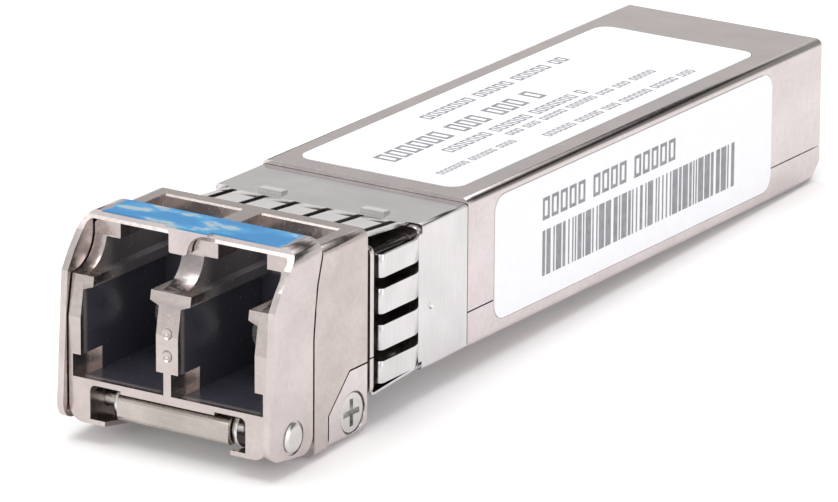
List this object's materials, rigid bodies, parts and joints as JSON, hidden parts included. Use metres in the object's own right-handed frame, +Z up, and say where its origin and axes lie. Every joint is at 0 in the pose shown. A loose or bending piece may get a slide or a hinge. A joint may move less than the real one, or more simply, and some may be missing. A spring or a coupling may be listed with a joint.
{
  "type": "optical transceiver module",
  "caption": "Pluggable optical transceiver with twin fibre ports, a swing bail, an under-body latch lever, a spring-finger collar and an edge connector.",
  "frame": {"origin": "middle of the bounding box's bottom face, on the plane that the nose stands on", "axes": "+Y from the fibre ports to the host connector, +X to the right seen from the fibre ports, +Z up towards the label face"},
  "size_m": [0.014, 0.057, 0.0119],
  "materials": {
    "nickel_plated_casting": "satin nickel plate on zinc",
    "stainless_sheet": "bright rolled",
    "bail_metal": "satin nickel plate, blue paint on the top strip",
    "lever_metal": "satin",
    "screw_steel": "satin nickel plate",
    "optics_metal": "turned",
    "zirconia": "polished ceramic",
    "holder_plastic": "moulded",
    "flex_polyimide": "amber film",
    "board_laminate": "solder mask",
    "gold_plating": "gold plated",
    "chip_resin": "moulded",
    "oscillator_can": "satin",
    "ceramic_capacitor": "fired ceramic",
    "ceramic_resistor": "fired ceramic",
    "thermal_gel": "soft",
    "absorber_rubber": "matt",
    "label_film": "satin film"
  },
  "bodies": {
    "module_body": {"nose_housing": "nickel_plated_casting", "upper_shell": "nickel_plated_casting", "lower_shell": "nickel_plated_casting", "emi_collar": "stainless_sheet", "latch_spring": "stainless_sheet", "lever_pin": "lever_metal", "side_screws": "screw_steel", "transmit_port_sleeve": "optics_metal", "receive_port_sleeve": "optics_metal", "transmit_laser_can": "optics_metal", "receive_detector_can": "optics_metal", "transmit_fibre_stub": "zirconia", "receive_fibre_stub": "zirconia", "optics_holder": "holder_plastic", "transmit_flex": "flex_polyimide", "receive_flex": "flex_polyimide", "circuit_board": "board_laminate", "edge_contacts_top": "gold_plating", "edge_contacts_bottom": "gold_plating", "laser_driver_chip": "chip_resin", "receiver_amplifier_chip": "chip_resin", "controller_chip": "chip_resin", "memory_chip": "chip_resin", "power_inductors": "chip_resin", "clock_oscillator": "oscillator_can", "capacitors": "ceramic_capacitor", "resistors": "ceramic_resistor", "thermal_pad": "thermal_gel", "absorber_sheet": "absorber_rubber", "top_label": "label_film", "side_label": "label_film"},
    "bail": {"bail_handle": "bail_metal", "bail_axle": "stainless_sheet", "cam_barrel": "nickel_plated_casting", "axle_washers": "stainless_sheet"},
    "lever": {"latch_lever": "lever_metal"}
  },
  "joints": [
    {"name": "bail_swing", "type": "hinge", "parent": "module_body", "child": "bail", "pos_m": [0, -0.02627, 0.00175], "axis": [1, 0, 0], "range_deg": [0, 90]},
    {"name": "lever_rock", "type": "hinge", "parent": "module_body", "child": "lever", "pos_m": [0, -0.02208, 0.0019], "axis": [1, 0, 0], "range_deg": [0, 5], "deforming": ["latch_spring"]}
  ],
  "couplings": [
    {"joint": "lever_rock", "follows": "bail_swing", "ratio": 0.0555}
  ]
}
